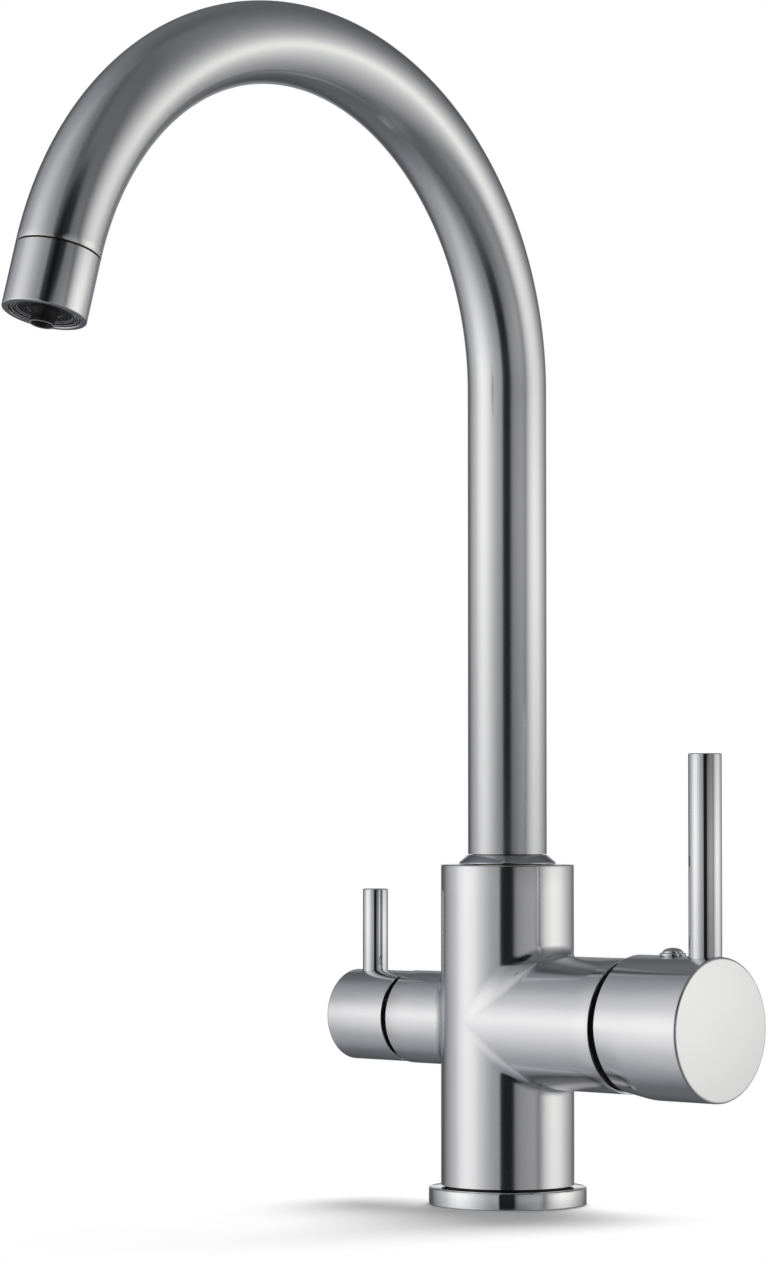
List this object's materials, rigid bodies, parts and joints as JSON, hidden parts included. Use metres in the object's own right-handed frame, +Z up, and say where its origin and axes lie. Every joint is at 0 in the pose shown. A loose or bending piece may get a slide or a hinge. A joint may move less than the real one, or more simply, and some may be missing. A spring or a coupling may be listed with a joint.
{
  "type": "three way filtered water tap",
  "caption": "Deck mounted three way kitchen tap with a swivelling swan neck spout, a mixer lever on one side and a filtered water lever on the other.",
  "frame": {"origin": "centre of the flat underside of the body, on the sink deck", "axes": "+Z up along the body and the spout's turning axis, -Y out along the spout towards its outlet, +X out along the mixer lever's axis and -X along the filter lever's"},
  "size_m": [0.1521, 0.2364, 0.3689],
  "materials": {
    "brushed_nickel": "satin",
    "polished_chrome": "polished",
    "raw_brass": "satin",
    "stainless": "satin",
    "black_plastic": "satin",
    "grey_plastic": "satin",
    "white_plastic": "satin",
    "ceramic": "satin",
    "rubber": "matte"
  },
  "bodies": {
    "tap_body": {"body_casting": "brushed_nickel", "base_ring": "polished_chrome", "base_gasket": "rubber", "spout_retaining_screw": "stainless", "filter_nipple": "raw_brass", "spout_bearing": "white_plastic", "cartridge_port_seal": "rubber", "cartridge_base": "grey_plastic", "mixer_fixed_disc": "ceramic", "cartridge_shell": "grey_plastic", "cartridge_nut": "raw_brass", "mixer_bonnet": "black_plastic", "filter_seat_seal": "rubber", "filter_fixed_disc": "ceramic", "filter_headwork": "raw_brass"},
    "swivel_spout": {"spout_tube": "brushed_nickel", "spout_nipple": "raw_brass", "spout_seal_lower": "rubber", "spout_seal_upper": "rubber", "spout_collar": "polished_chrome", "filter_water_hose": "white_plastic", "nozzle_sleeve": "brushed_nickel", "nozzle_adapter": "raw_brass", "aerator_washer": "rubber", "aerator_housing": "black_plastic", "aerator_insert": "black_plastic", "filter_outlet": "black_plastic"},
    "mixer_rotor": {"cartridge_carrier": "white_plastic", "lever_pivot_pin": "stainless"},
    "mixer_lever": {"lever_stem": "raw_brass", "mixer_cap": "brushed_nickel", "mixer_lever_rod": "brushed_nickel", "mixer_grub_screw": "stainless", "mixer_index_plug": "polished_chrome"},
    "mixer_disc": {"mixer_moving_disc": "ceramic", "disc_slider": "grey_plastic"},
    "filter_lever": {"filter_moving_disc": "ceramic", "filter_spindle": "stainless", "filter_spindle_seal": "rubber", "filter_spindle_clip": "stainless", "filter_cap": "brushed_nickel", "filter_lever_rod": "brushed_nickel", "filter_grub_screw": "stainless"}
  },
  "joints": [
    {"name": "spout_swivel", "type": "hinge", "parent": "tap_body", "child": "swivel_spout", "pos_m": [0, 0, 0.1072], "axis": [0, 0, 1], "range_deg": [-180, 180]},
    {"name": "mixer_turn", "type": "hinge", "parent": "tap_body", "child": "mixer_rotor", "pos_m": [0.043, 0, 0.0578], "axis": [1, 0, 0], "range_deg": [-45, 45]},
    {"name": "mixer_tilt", "type": "hinge", "parent": "mixer_rotor", "child": "mixer_lever", "pos_m": [0.043, 0, 0.0578], "axis": [0, 1, 0], "range_deg": [0, 20]},
    {"name": "mixer_disc_slide", "type": "slide", "parent": "mixer_rotor", "child": "mixer_disc", "axis": [0, 0, 1], "range_m": [0, 0.00425]},
    {"name": "filter_turn", "type": "hinge", "parent": "tap_body", "child": "filter_lever", "pos_m": [-0.0392, 0, 0.0578], "axis": [1, 0, 0], "range_deg": [0, 90]}
  ],
  "couplings": [
    {"joint": "mixer_disc_slide", "follows": "mixer_tilt", "m_per_rad": 0.0121}
  ]
}
